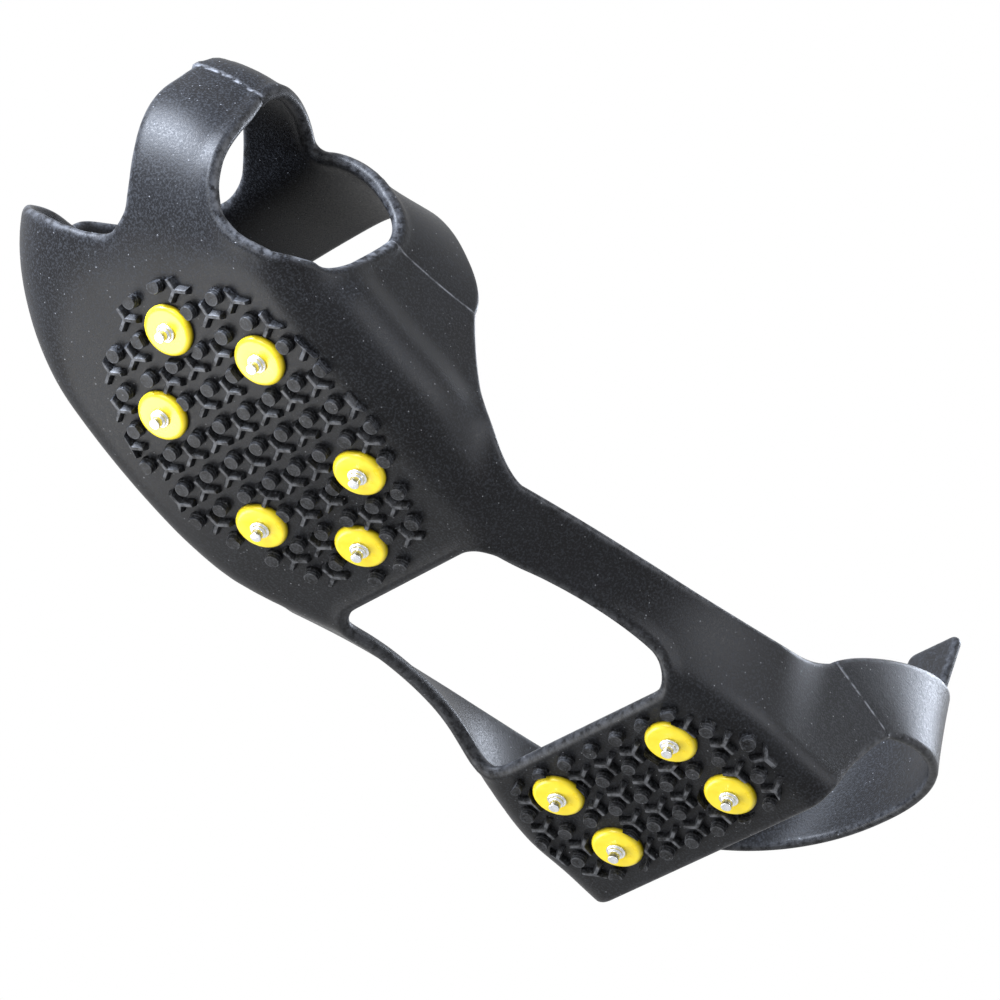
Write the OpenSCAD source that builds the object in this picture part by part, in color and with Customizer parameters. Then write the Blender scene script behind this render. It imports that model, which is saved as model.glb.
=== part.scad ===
// Ice cleat: a stretch-on rubber harness with ten steel studs in plastic discs.
// Millimetres. +X points to the toe, +Y to the outer side of the foot, +Z up.
// The cleat stands on its stud tips: z = 0 is the ground. The origin lies under the middle of its outline.

/* [Rubber harness] */
// Thickness of the moulded rubber
rubber_t = 3; // [2:0.1:4.5]
// Clear cut between rubber pieces that move against each other
part_gap = 0.4; // [0.3:0.05:0.8]
// Distance along the sole at which the toe starts to curl up
rocker_start = 38; // [30:1:45]
// Radius of the sole's curl towards the toe
rocker_r = 207; // [170:1:300]
// Half width of the harness at its upper rim
rim_half_w = 46; // [42:0.5:50]
// Radius between the sole and the side walls
side_round = 11; // [7:0.5:14]

/* [Waist] */
// Half width of the sole line at the narrowest place
waist_half_w = 26.5; // [24:0.5:30]
// Distance along the sole of the narrowest place
waist_s = -6; // [-12:1:0]
// Height of the rim at its lowest place
waist_rim_h = 9.3; // [8:0.1:11]
// Distance along the sole of the rim's lowest place
waist_rim_s = 20; // [16:1:24]
// Rise of the rim per millimetre towards the heel
rim_slope = 0.236; // [0.2:0.002:0.27]
// Distance along the sole at which the harness is divided so that it can flex
split_s = -16; // [-20:1:-12]

/* [Arch opening] */
// Front edge of the opening under the arch
arch_front_x = 16; // [13:0.5:18]
// Rear edge of the opening under the arch
arch_rear_x = -48.5; // [-50:0.5:-45]
// Half width of the opening at its front
arch_front_half = 29; // [26:0.5:30]
// Half width of the opening at its rear
arch_rear_half = 37; // [34:0.5:38]
// Corner radius of the opening
arch_corner_r = 8; // [5:0.5:12]

/* [Forefoot] */
// Distance along the sole at which the forefoot is full width
ball_s = 62; // [56:1:68]
// Half width of the forefoot on the outer side
outer_half_w = 45; // [42:0.5:48]
// Half width of the forefoot on the inner side
inner_half_w = 51; // [46:0.5:53]
// Distance along the sole at which the toe starts to round
toe_s = 105; // [100:1:108]
// Length of the toe ahead of that place
toe_reach = 73; // [66:1:80]
// Squareness of the toe's outer half
outer_square = 1.9; // [1.7:0.1:2.3]
// Squareness of the toe's inner half
inner_square = 3; // [2.4:0.1:3.4]
// Length over which the toe's underside rounds up
toe_round_len = 55; // [45:1:60]
// Height over which the toe's underside rounds up
toe_round_h = 36; // [30:1:36]
// Forward bulge of the toe at the height of its mould line and above
toe_bulge = 5; // [2:0.5:7]

/* [Wings and bridge] */
// Height of the mould line at the rear of the wings
wing_h = 45.5; // [42:0.5:50]
// Height of the mould line round the toe
toe_line_h = 37; // [36.5:0.1:40]
// Distance along the sole of the outer wing's rear corner
wing_rear_s = 55; // [50:1:60]
// Distance along the sole of the outer wing's front corner
wing_front_s = 94; // [90:1:98]
// Distance along the sole at which the inner wing starts to rise
inner_rise_s = 40; // [34:1:48]
// Distance along the sole of the inner wing's rear corner
inner_wing_s = 98; // [92:1:101]
// Direction of the bridge's inner edge, in degrees off the toe
bridge_from = 13; // [10:0.5:16]
// Direction of the bridge's outer edge, in degrees off the toe
bridge_to = 40; // [36:0.5:44]
// Direction of the inner hole's far end, in degrees off the toe
inner_hole_end = -46; // [-52:1:-40]
// Height of the outer hole's lower edge
outer_hole_h = 2.8; // [2:0.1:6]
// Height of the inner hole's lower edge
inner_hole_h = 1.6; // [1.2:0.1:5]

/* [Toe strap] */
// Height of the strap above the sole at the middle of its front edge
strap_top_h = 66; // [60:1:76]
// Rise of the strap's crown from its front edge to the ball of the foot
crown_rise = 21; // [12:0.5:26]
// Distance along the sole at which the crown is highest
crown_s = 70; // [64:1:80]
// Rear edge of the strap at its middle
strap_rear_s = 93; // [88:1:98]
// Front edge of the strap at its middle
strap_front_s = 132; // [126:1:138]

/* [Heel] */
// Distance along the sole at which the heel is full width
heel_s = -82; // [-90:1:-76]
// Half width of the heel on the outer side
heel_outer_half_w = 45; // [42:0.5:47]
// Half width of the heel on the inner side
heel_inner_half_w = 50.5; // [45:0.5:52]
// Radius between the heel plate and its side walls
heel_round = 8; // [6:0.5:12]
// Rear edge of the heel plate
heel_rear_x = -102; // [-106:0.5:-99]
// Place at which the rim starts to rise to the heel strap
heel_rise_x = -70; // [-76:1:-64]
// Half width of the harness where the heel strap starts
strap_root_half = 41.5; // [39:0.5:44]
// Place of the heel strap's upper root
strap_upper_x = -91; // [-94:0.5:-88]
// Height of the heel strap's upper root
strap_upper_h = 43.4; // [41:0.2:47]
// Place of the heel strap's lower root
strap_lower_x = -114; // [-118:0.5:-110]
// Height of the heel strap's lower root
strap_lower_h = 34; // [31:0.5:37]
// Rearmost reach of the heel strap
heel_back_x = -151; // [-158:1:-144]
// Height of the heel strap's lower edge at the back
back_lower_h = 51; // [46:1:56]
// Height of the heel strap's upper edge at the back
back_upper_h = 88; // [80:1:94]

/* [Pull tab] */
// Width of the pull tab
tab_w = 20; // [14:1:26]
// Length of the pull tab
tab_len = 30; // [18:1:36]
// Corner radius of the pull tab
tab_corner_r = 3; // [1:0.5:6]

/* [Studs] */
// Diameter of the plastic disc
disc_d = 14.4; // [12:0.2:16]
// Thickness of the plastic disc
disc_t = 2; // [1.5:0.1:2.6]
// Bevel round the disc's face
disc_bevel = 0.5; // [0.2:0.1:0.8]
// Reach of the stud beyond the disc's face
tip_reach = 3.5; // [2.8:0.1:6]
// Diameter of the stud's pin
pin_d = 3; // [2.4:0.1:3.8]
// Diameter of the stud's collar
collar_d = 4.2; // [3.8:0.1:5]
// Height of the stud's collar
collar_h = 1.5; // [1:0.1:2.4]
// Diameter of the flange that clamps the disc
flange_d = 5.4; // [5:0.1:8]
// Thickness of the flange
flange_t = 0.7; // [0.5:0.1:0.9]
// Diameter of the shank through disc and sole
shank_d = 4; // [3:0.1:4.4]
// Diameter of the stud's head inside the harness
head_d = 10; // [8:0.5:12]
// Thickness of the head
head_t = 1.2; // [0.8:0.1:1.6]
// Clearance of the shank and head in the rubber and disc
fit_gap = 0.1; // [0.05:0.05:0.3]

/* [Stud layout] */
// Foremost stud
stud_front_s = 110; // [106:0.5:113]
// Front pair, distance along the sole
pair_front_s = 91.5; // [88:0.5:95]
// Rear pair, distance along the sole
pair_rear_s = 52; // [48:0.5:56]
// Half spacing of both forefoot pairs
pair_half = 19.5; // [17:0.5:22]
// Rearmost stud of the forefoot
stud_tail_s = 33; // [30:0.5:36]
// Front pair of the heel
heel_front_x = -63; // [-66:0.5:-61]
// Rear pair of the heel
heel_rear_pair_x = -86; // [-89:0.5:-83]
// Half spacing of the heel pairs
heel_pair_half = 22; // [19:0.5:25]

/* [Tread] */
// Spacing of the nubs across the sole
nub_pitch_y = 10; // [9:0.1:12]
// Spacing of the rows of nubs
nub_pitch_s = 9.9; // [9:0.1:12]
// Diameter of a nub
nub_d = 4.2; // [3:0.1:5]
// Height of a nub
nub_h = 2.6; // [2:0.1:4]
// Height of a three-armed lug
lug_h = 1.8; // [1:0.1:2.6]
// Length of a lug's arm
lug_arm = 3.8; // [3:0.1:4.2]
// Width of a lug's arm
lug_w = 1.5; // [1:0.1:2]
// Distance of a lug's middle from its row of nubs
lug_offset = 3.4; // [3:0.1:4]
// Least clear space round a nub or lug
tread_room = 0.3; // [0.2:0.1:0.6]
// Middle of the forefoot tread
tread_s = 72; // [70:0.5:74]
// Half length of the forefoot tread
tread_half_len = 51; // [46:0.5:53]
// Half width of the forefoot tread
tread_half_w = 36.5; // [33:0.5:39]
// Middle of the heel tread
heel_tread_x = -74; // [-76:0.5:-72]
// Offset of the heel tread to the outer side
heel_tread_y = 2; // [0:0.5:4]
// Half length of the heel tread
heel_tread_half_len = 22; // [19:0.5:23]
// Half width of the heel tread
heel_tread_half_w = 39.5; // [36:0.5:41]

/* [Hidden] */
$fn = 48;
rubber = "#26282c";
yellow = "#f5d800";
steel = "#c9ccd0";
base_z = disc_t + tip_reach;
// Cells of the rubber's surface: on the floor, up a wall, and along each stretch of the harness
floor_cells = 3;
wall_cells = 8;
waist_cells = 6;
wing_rise_cells = 7;
wing_cells = 5;
hole_start_cells = 4;
heel_cells = 17;
strap_cells = 6;
bridge_cells = 7;
strap_half_cells = 12;
heel_strap_cells = 4;
// Curvature of the rims, walls, roof and straps, as powers of a run from 0 to 1; pairs run from ball to toe
edge_power = 1.75;
hole_start_power = 2;
round_power = 1.8;
roof_power = [2.5, 3.2];
roof_square = [2, 2.6];
heel_edge_power = 1.6;
strap_sweep = 4.5;
strap_spread = 0.8;
bridge_spread = 1.5;
heel_square = 0.9;
heel_climb = 0.8;
tread_square = 2.5;
heel_tread_square = 3;
// Heights between which the toe's bulge grows
bulge_h = [28, 46];
// Share of the mould line's height at which the outer hole's edge turns into the wing
hole_rear_share = 0.18;
// Play between tread and sole, and how far a cutter runs past what it cuts
tread_lift = 0.03;
over = 2;

// Studs: name suffix, distance along the sole, place across
FORE_STUDS = [
    ["toe", stud_front_s, 0],
    ["front_inner", pair_front_s, -pair_half],
    ["front_outer", pair_front_s, pair_half],
    ["mid_inner", pair_rear_s, -pair_half],
    ["mid_outer", pair_rear_s, pair_half],
    ["tail", stud_tail_s, 0]
];
HEEL_STUDS = [
    ["heel_front_inner", heel_front_x, -heel_pair_half],
    ["heel_front_outer", heel_front_x, heel_pair_half],
    ["heel_rear_inner", heel_rear_pair_x, -heel_pair_half],
    ["heel_rear_outer", heel_rear_pair_x, heel_pair_half]
];
STUDS = concat(FORE_STUDS, HEEL_STUDS);

function mix(a, b, t) = a + (b - a) * t;
function clamp(t) = min(1, max(0, t));
function ease(t) = let (c = clamp(t)) c * c * (3 - 2 * c);
function share(x, from, to) = clamp((x - from) / (to - from));

// A point at distance s along the sole, y across and h above the sole's ground face
function curl(s) = max(0, (s - rocker_start) / rocker_r) * 180 / PI;
function world(s, y, h) = let (a = curl(s)) s < rocker_start
    ? [s, y, base_z + h]
    : [rocker_start + (rocker_r - h) * sin(a), y, base_z + rocker_r - (rocker_r - h) * cos(a)];

// Half width of the sole line and of the rim on one side: 1 is the outer side, -1 the inner
function fore_half(side) = side > 0 ? outer_half_w : inner_half_w;
function heel_half(side) = side > 0 ? heel_outer_half_w : heel_inner_half_w;
function sole_half(s, side) = s < waist_s
    ? mix(waist_half_w, heel_half(side), ease(share(s, waist_s, heel_s)))
    : mix(waist_half_w, fore_half(side), ease(share(s, waist_s, ball_s)));
function rim_half(s, side) = s < waist_s
    ? mix(rim_half_w, strap_root_half, ease(share(s, heel_rise_x, strap_upper_x)))
    : mix(rim_half_w, fore_half(side), ease(share(s, waist_s, ball_s)));

// Height of the mould line, and of the rim on each side of the forefoot and heel
function line_h(s) = mix(wing_h, toe_line_h, (min(s, toe_s) - wing_rear_s) / (toe_s - wing_rear_s));
function band_h(s) = waist_rim_h + rim_slope * max(0, waist_rim_s - s);
function heel_rim_h(s) = band_h(s) + (strap_upper_h - band_h(strap_upper_x))
    * pow(max(0, (heel_rise_x - s) / (heel_rise_x - strap_upper_x)), 2);
function rise(s, from, to) = mix(band_h(s), line_h(s), pow(share(s, from, to), edge_power));
function hole_edge(low, part) = mix(low, toe_line_h, part);
function outer_rim_h(s) = s <= wing_front_s
    ? rise(s, waist_rim_s, wing_rear_s)
    : let (drop = pow(share(s, toe_s, wing_front_s), hole_start_power))
        mix(hole_edge(outer_hole_h, hole_rear_share), line_h(s), drop);
function inner_rim_h(s) = rise(s, inner_rise_s, inner_wing_s);

// Rim round the toe: degrees from the bridge's edge or the hole's end, and shares of the mould line's height
OUTER_RISE = [[-4, 1], [0, 0.65], [3, 0.3], [7, 0.14], [14, 0.04], [26, 0]];
INNER_RISE = [[0, 1], [6, 0.77], [10, 0.49], [14, 0.26], [19, 0.12], [24, 0.045], [31, 0.01], [40, 0]];
BRIDGE_RISE = [[-12, 0.008], [-6, 0.03], [-2.5, 0.09], [-0.5, 0.22], [1, 1]];
OUTER_EDGE = concat(
    [for (p = OUTER_RISE) [bridge_to + p[0], hole_edge(outer_hole_h, p[1])]],
    [[78, outer_hole_h], [86, hole_edge(outer_hole_h, hole_rear_share / 2)],
        [90, hole_edge(outer_hole_h, hole_rear_share)]]
);
INNER_EDGE = concat(
    [[-90, toe_line_h]],
    [for (p = INNER_RISE) [inner_hole_end + p[0], hole_edge(inner_hole_h, p[1])]],
    [for (p = BRIDGE_RISE) [bridge_from + p[0], hole_edge(inner_hole_h, p[1])]]
);
bridge_foot = [bridge_from + 1, bridge_to - 4];

// Reach of the toe in a direction
function toe_square(side) = side > 0 ? outer_square : inner_square;
function toe_at(a) = let (side = a > 0 ? 1 : -1, n = toe_square(side))
    pow(pow(cos(a) / toe_reach, n) + pow(abs(sin(a)) / fore_half(side), n), -1 / n);

// How far the toe bulges out at a height: tip is 1 straight ahead and 0 at the sides
function bulge(h, tip) = toe_bulge * tip * ease(share(h, bulge_h[0], bulge_h[1]))
    * (1 - ease(share(h, bulge_h[1], strap_top_h)));

// A section from the middle of the sole to the rim: [distance, height, inward normal]
function floor_end(d, lean, len) = d - len * tan((90 - lean) / 2);
function section_at(d, lean, len, high, h) = let (turn = acos(max(-1, 1 - h / high)))
    turn < 90 - lean
        ? let (n = [-sin(turn) / len, cos(turn) / high])
            concat([floor_end(d, lean, len) + len * sin(turn), h], n / norm(n))
        : [d + h * tan(lean), h, -cos(lean), sin(lean)];
function section(d, lean, len, high, rim) = concat(
    [for (k = [0:floor_cells - 1]) [floor_end(d, lean, len) * k / floor_cells, 0, 0, 1]],
    [for (k = [0:wall_cells]) section_at(d, lean, len, high, rim * pow(k / wall_cells, round_power))]
);

// Half rows of the harness: points with their inward normals, along the sole and round the toe
function corner_round(s) = mix(side_round, heel_round, ease(share(s, waist_s, heel_s)));
function wall_lean(s, side, rim) = atan2(rim_half(s, side) - sole_half(s, side), rim);
function side_half_row(s, side, rim) = let (r = corner_round(s))
    [for (p = section(sole_half(s, side), wall_lean(s, side, rim), r, r, rim))
        [[s, side * p[0], p[1]], [0, side * p[2], p[3]]]];
function toe_half_row(a, rim) =
    let (w = pow(cos(a), 2), len = mix(side_round, toe_round_len, w), high = mix(side_round, toe_round_h, w))
    [for (p = section(toe_at(a), 0, len, high, rim)) let (d = p[0] + bulge(p[1], w))
        [[toe_s + d * cos(a), d * sin(a), p[1]], [p[2] * cos(a), p[2] * sin(a), p[3]]]];
function whole_row(inner, outer) = concat([for (k = [len(inner) - 1:-1:1]) inner[k]], outer);
function lay(row, depth) = [for (p = row) let (q = p[0] + depth * p[1]) world(q[0], q[1], q[2])];

// A closed solid from rows of points on an outer and an inner skin, where some rows may be longer.
// The rows from fan_row on share their middle point, and the last row folds onto itself.
module grid_solid(outer, inner, fan_row = -1) {
    rows = len(outer);
    cols = max([for (r = outer) len(r)]);
    mid = (cols - 1) / 2;
    last = rows - 1;
    fan = fan_row >= 0;
    function at(i, j, skin) = skin * rows * cols + (
        fan && i >= fan_row && j == mid ? fan_row * cols + mid
        : fan && i == last && j < mid ? i * cols + cols - 1 - j
        : i * cols + j);
    function cells(i) = i < 0 || i >= last ? 0 : min(len(outer[i]), len(outer[i + 1])) - 1;
    function tri(a, b, c) = a == b || b == c || a == c ? [] : [[a, b, c]];
    function quad(a, b, c, d) = concat(tri(a, b, c), tri(a, c, d));
    function wall(i, j, k, l) = quad(at(i, j, 0), at(k, l, 0), at(k, l, 1), at(i, j, 1));
    function skins(i, j) = concat(
        quad(at(i, j, 0), at(i + 1, j, 0), at(i + 1, j + 1, 0), at(i, j + 1, 0)),
        quad(at(i, j, 1), at(i, j + 1, 1), at(i + 1, j + 1, 1), at(i + 1, j, 1)));
    function walls(i, j) = concat(
        j == 0 ? wall(i + 1, j, i, j) : [],
        j == cells(i) - 1 ? wall(i, j + 1, i + 1, j + 1) : [],
        j >= cells(i - 1) ? wall(i, j, i, j + 1) : [],
        j >= cells(i + 1) && !(fan && i == last - 1) ? wall(i + 1, j + 1, i + 1, j) : []);
    function filled(r) = [for (j = [0:cols - 1]) r[min(j, len(r) - 1)]];
    polyhedron(points = [for (skin = [outer, inner], r = skin) each filled(r)],
        faces = [for (i = [0:last - 1], j = [0:cells(i) - 1]) each concat(skins(i, j), walls(i, j))]);
}

// Rows of the forefoot: along the sole, then as a fan round the toe up to the middle of the bridge
seam = (bridge_from + bridge_to) / 2;
fore_front = split_s + part_gap / 2;
fore_stations = concat(
    [for (k = [0:waist_cells]) mix(fore_front, waist_rim_s, k / waist_cells)],
    [for (k = [1:wing_rise_cells]) mix(waist_rim_s, wing_rear_s, k / wing_rise_cells)],
    [for (k = [1:wing_cells]) mix(wing_rear_s, wing_front_s, k / wing_cells)],
    [for (k = [1:hole_start_cells]) mix(wing_front_s, toe_s, k / hole_start_cells)]
);
outer_turns = concat(
    [for (k = [1:6]) mix(90, bridge_to + 14, k / 6)],
    [for (d = [10, 7, 5, 3, 1.5, 0, -1.3, -2.7, -4]) bridge_to + d],
    [for (k = [1:4]) mix(bridge_foot[1], seam, k / 4)]
);
inner_turns = concat(
    [for (k = [1:4]) mix(-90, inner_hole_end - 3, k / 4)],
    [for (d = [0, 3, 6, 10, 14, 19, 24, 31, 40]) inner_hole_end + d],
    [for (p = BRIDGE_RISE) bridge_from + p[0]],
    [seam]
);
fore_rows = concat(
    [for (s = fore_stations) whole_row(
        side_half_row(s, -1, inner_rim_h(s)),
        side_half_row(s, 1, outer_rim_h(s)))],
    [for (k = [0:len(outer_turns) - 1]) whole_row(
        toe_half_row(inner_turns[k], lookup(inner_turns[k], INNER_EDGE)),
        toe_half_row(outer_turns[k], lookup(outer_turns[k], OUTER_EDGE)))]
);
heel_end = strap_lower_x - 2 * over;
heel_rows = [for (k = [0:heel_cells]) let (s = mix(heel_end, split_s - part_gap / 2, k / heel_cells))
    whole_row(side_half_row(s, -1, heel_rim_h(s)), side_half_row(s, 1, heel_rim_h(s)))];

fore_skin = [for (r = fore_rows) lay(r, 0)];

// Puts children with their z axis on the sole's ground face, pointing out of the rubber
module on_sole(s, y) {
    side = y > 0 ? 1 : -1;
    rim = s < waist_s ? heel_rim_h(s) : side > 0 ? outer_rim_h(s) : inner_rim_h(s);
    r = corner_round(s);
    climb = asin(clamp((abs(y) - floor_end(sole_half(s, side), wall_lean(s, side, rim), r)) / r));
    translate(world(s, y, r * (1 - cos(climb)))) rotate([0, -curl(s), 0]) rotate([180 + side * climb, 0, 0])
        children();
}

// Bores for the studs, with a recess for each head in the shoe side
module stud_bores(list) {
    for (p = list) on_sole(p[1], p[2]) {
        translate([0, 0, -rubber_t - over]) cylinder(h = rubber_t + 2 * over, d = shank_d + 2 * fit_gap);
        translate([0, 0, -rubber_t - over]) cylinder(h = head_t + fit_gap + over, d = head_d + 2 * fit_gap);
    }
}

// Opening under the arch, right through the sole and the foot of the side walls
module arch_opening() {
    r = arch_corner_r;
    corners = [[arch_front_x - r, arch_front_half - r], [arch_rear_x + r, arch_rear_half - r],
        [arch_rear_x + r, r - arch_rear_half], [arch_front_x - r, r - arch_front_half]];
    translate([0, 0, base_z - over]) linear_extrude(wing_h) union() {
        polygon(corners);
        for (k = [0:3]) {
            a = corners[k];
            b = corners[(k + 1) % 4];
            n = [b[1] - a[1], a[0] - b[0]] / norm(b - a) * r;
            polygon([a, b, b + n, a + n]);
            translate(a) circle(r);
        }
    }
}

module forefoot_sole() {
    color(rubber) placed() difference() {
        grid_solid(fore_skin, [for (r = fore_rows) lay(r, rubber_t)], len(fore_stations) - 1);
        arch_opening();
        stud_bores(FORE_STUDS);
    }
}

// Everything behind the heel plate's rear edge and above the heel strap's mould line
module heel_trim() {
    steps = 8;
    edge = [for (k = [0:steps]) [mix(heel_rear_x, strap_lower_x, pow(k / steps, heel_edge_power)),
        base_z + (strap_lower_h - part_gap / 2) * k / steps]];
    rear = heel_end - over;
    front = strap_upper_x + part_gap;
    top = base_z + heel_rim_h(heel_end) + over;
    outline = concat([[rear, base_z - over], [heel_rear_x, base_z - over]], edge,
        [[front, base_z + strap_upper_h - part_gap / 2], [front, top], [rear, top]]);
    rotate([90, 0, 0]) linear_extrude(4 * rim_half_w, center = true) polygon(outline);
}

module heel_sole() {
    color(rubber) placed() difference() {
        grid_solid([for (r = heel_rows) lay(r, 0)], [for (r = heel_rows) lay(r, rubber_t)]);
        arch_opening();
        heel_trim();
        stud_bores(HEEL_STUDS);
    }
}

// Height of the upper over the forefoot, above the mould line, boxier towards the toe
function roof_reach(s, y) = let (side = y > 0 ? 1 : -1, n = toe_square(side))
    pow(pow(max(0, s - toe_s) / toe_reach, n) + pow(abs(y) / fore_half(side), n), 1 / n);
function roof_h(s, y) =
    let (low = line_h(s), top = strap_top_h + crown_rise * ease(share(s, strap_front_s, crown_s)),
        toe = share(s, toe_s, toe_s + toe_reach),
        power = mix(roof_power[0], roof_power[1], toe), square = mix(roof_square[0], roof_square[1], toe))
    low + (top - low) * pow(max(0, 1 - pow(roof_reach(s, y), power)), 1 / square);
function edge_y(s, side) = let (n = toe_square(side))
    side * fore_half(side) * pow(1 - pow(max(0, s - toe_s) / toe_reach, n), 1 / n);
function on_roof(p) =
    let (h = roof_h(p[0], p[1]), a = atan2(p[1], max(0, p[0] - toe_s)), d = bulge(h, pow(cos(a), 2)))
    world(p[0] + d * cos(a), p[1] + d * sin(a), h + part_gap);

// Inner skin of a grid of points: each point moved along the grid's own normal
function has(g, i, j) = i >= 0 && i < len(g) && j >= 0 && j < len(g[i]);
function grid_normal(g, i, j) =
    let (a = g[has(g, i + 1, j) ? i + 1 : i][j] - g[has(g, i - 1, j) ? i - 1 : i][j],
        b = g[i][has(g, i, j + 1) ? j + 1 : j] - g[i][has(g, i, j - 1) ? j - 1 : j],
        n = cross(a, b))
    n / norm(n);
function thicken(g, t) = [for (i = [0:len(g) - 1])
    [for (j = [0:len(g[i]) - 1]) g[i][j] + t * grid_normal(g, i, j)]];

// Strap over the foot: rows run from the inner wing to the outer, columns from rear to front.
// The middle rows run on down the bridge to the mould line at the toe.
bridge_rows = [-1, 3];
inner_front_s = toe_s + toe_at(inner_hole_end) * cos(inner_hole_end);
function strap_turn(k) = sign(k) * pow(abs(k) / strap_half_cells, strap_spread) * 90;
function strap_place(turn, v) =
    let (w = pow(abs(sin(turn)), strap_sweep), side = turn > 0 ? 1 : -1,
        rear = mix(strap_rear_s, side > 0 ? wing_rear_s : inner_wing_s, w),
        front = mix(strap_front_s, side > 0 ? wing_front_s : inner_front_s, w),
        s = mix(rear, front, v))
    [s, edge_y(s, side) * abs(sin(turn))];
function bridge_point(k, run) =
    let (t = 1 - pow(1 - run, bridge_spread),
        a = mix(bridge_foot[0], bridge_foot[1], share(k, bridge_rows[0], bridge_rows[1])),
        foot = [toe_s, 0] + toe_at(a) * [cos(a), sin(a)])
    on_roof(mix(strap_place(strap_turn(k), 1), foot, t));
strap_grid = [for (k = [-strap_half_cells:strap_half_cells]) concat(
    [for (c = [0:strap_cells]) on_roof(strap_place(strap_turn(k), c / strap_cells))],
    k < bridge_rows[0] || k > bridge_rows[1] ? []
        : [for (c = [1:bridge_cells]) bridge_point(k, c / bridge_cells)])];

// The outline's middle goes to the origin
reach_x = max([for (skin = [fore_skin, strap_grid], r = skin, p = r) p[0]]);
reach_y = [for (side = [-1, 1]) max(fore_half(side), heel_half(side), rim_half_w)];
middle = [(reach_x + heel_back_x) / 2, (reach_y[1] - reach_y[0]) / 2, 0];
module placed() {
    translate(-middle) children();
}

module toe_strap() {
    color(rubber) placed() grid_solid(strap_grid, thicken(strap_grid, rubber_t));
}

// Strap round the heel: rows run from the inner root round the back to the outer root.
// Depth runs level into the rubber, so the roots end along the level cut of the side walls.
function heel_point(turn, v, depth = 0) =
    let (side = turn > 0 ? 1 : -1, c = pow(cos(turn), heel_square), n = pow(abs(sin(turn)), heel_square),
        root_x = mix(strap_lower_x, strap_upper_x, v),
        root_h = mix(strap_lower_h, strap_upper_h, v) + part_gap / 2,
        back_h = mix(back_lower_h, back_upper_h, v),
        root_half = sole_half(root_x, side) + root_h * tan(wall_lean(root_x, side, heel_rim_h(root_x))))
    world(mix(root_x, heel_back_x + depth, c), side * (root_half - depth) * n,
        mix(root_h, back_h, pow(c, heel_climb)));
function heel_strap_skin(depth) = [for (k = [-strap_half_cells:strap_half_cells])
    [for (c = [0:heel_strap_cells]) heel_point(90 * k / strap_half_cells, c / heel_strap_cells, depth)]];

module heel_strap() {
    color(rubber) placed() grid_solid(heel_strap_skin(0), heel_strap_skin(rubber_t));
}

// Tab that stands on the heel strap's upper edge, to pull the harness on
module pull_tab() {
    low = tab_len - tab_corner_r;
    side = tab_w / 2 - tab_corner_r;
    color(rubber) placed() translate(heel_point(0, 1) + [0, 0, part_gap]) rotate([90, 0, 90])
        linear_extrude(rubber_t) {
            translate([-tab_w / 2, 0]) square([tab_w, low]);
            translate([-side, 0]) square([2 * side, tab_len]);
            for (x = [-side, side]) translate([x, low]) circle(tab_corner_r);
        }
}

// Tread: nubs in staggered rows with a three-armed lug beside each, clear of the discs
function inside_tread(s, y, half_len, half_w, square) =
    pow(abs(s) / half_len, square) + pow(abs(y) / half_w, square) < 1;
function clear_of_studs(s, y, room, list) =
    min([for (p = list) norm([s - p[1], y - p[2]])]) > disc_d / 2 + room;
function lattice(ds, dy, s0, y0, half_len, half_w, square, list, room) = [
    for (r = [-ceil(half_len / nub_pitch_s):ceil(half_len / nub_pitch_s)],
        c = [-ceil(half_w / nub_pitch_y) - 1:ceil(half_w / nub_pitch_y) + 1])
        let (s = r * nub_pitch_s + ds, y = (c + (r % 2 == 0 ? 0 : 0.5)) * nub_pitch_y + dy)
        if (inside_tread(s, y - y0, half_len, half_w, square) && clear_of_studs(s0 + s, y, room, list))
            [s0 + s, y]
];

module lug_shape(stem) {
    for (a = [0, 120, 240]) rotate(a) translate([stem > 0 ? 0 : -lug_arm, -lug_w / 2])
        square([lug_arm, lug_w]);
}

module tread(s0, y0, half_len, half_w, square, list, stem) {
    nub_room = nub_d / 2 + tread_room;
    lug_room = lug_arm + tread_room;
    for (p = lattice(0, 0, s0, y0, half_len - nub_d / 2, half_w - nub_d / 2, square, list, nub_room))
        on_sole(p[0], p[1]) translate([0, 0, tread_lift]) cylinder(h = nub_h, d = nub_d);
    for (p = lattice(-lug_offset * stem, nub_pitch_y / 2, s0, y0, half_len - lug_arm, half_w - lug_arm,
        square, list, lug_room))
        on_sole(p[0], p[1]) translate([0, 0, tread_lift]) linear_extrude(lug_h) lug_shape(stem);
}

module forefoot_tread() {
    color(rubber) placed() tread(tread_s, 0, tread_half_len, tread_half_w, tread_square, FORE_STUDS, 1);
}

module heel_tread() {
    color(rubber) placed() tread(heel_tread_x, heel_tread_y, heel_tread_half_len, heel_tread_half_w,
        heel_tread_square, HEEL_STUDS, -1);
}

// Stud: head inside the harness, shank, flange against the disc, collar and pin
module stud(p) {
    top = -rubber_t;
    color(steel) placed() on_sole(p[1], p[2]) rotate_extrude() polygon([
        [0, top], [head_d / 2, top], [head_d / 2, top + head_t],
        [shank_d / 2, top + head_t], [shank_d / 2, disc_t],
        [flange_d / 2, disc_t], [flange_d / 2, disc_t + flange_t],
        [collar_d / 2, disc_t + flange_t], [collar_d / 2, disc_t + collar_h],
        [pin_d / 2, disc_t + collar_h], [pin_d / 2, disc_t + tip_reach], [0, disc_t + tip_reach]
    ]);
}

module disc(p) {
    bore = shank_d / 2 + fit_gap;
    color(yellow) placed() on_sole(p[1], p[2]) rotate_extrude() polygon([[bore, 0], [disc_d / 2, 0],
        [disc_d / 2, disc_t - disc_bevel], [disc_d / 2 - disc_bevel, disc_t], [bore, disc_t]]);
}

forefoot_sole();
heel_sole();
toe_strap();
heel_strap();
pull_tab();
forefoot_tread();
heel_tread();
for (p = STUDS) stud(p);
for (p = STUDS) disc(p);
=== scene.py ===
import math

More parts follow.
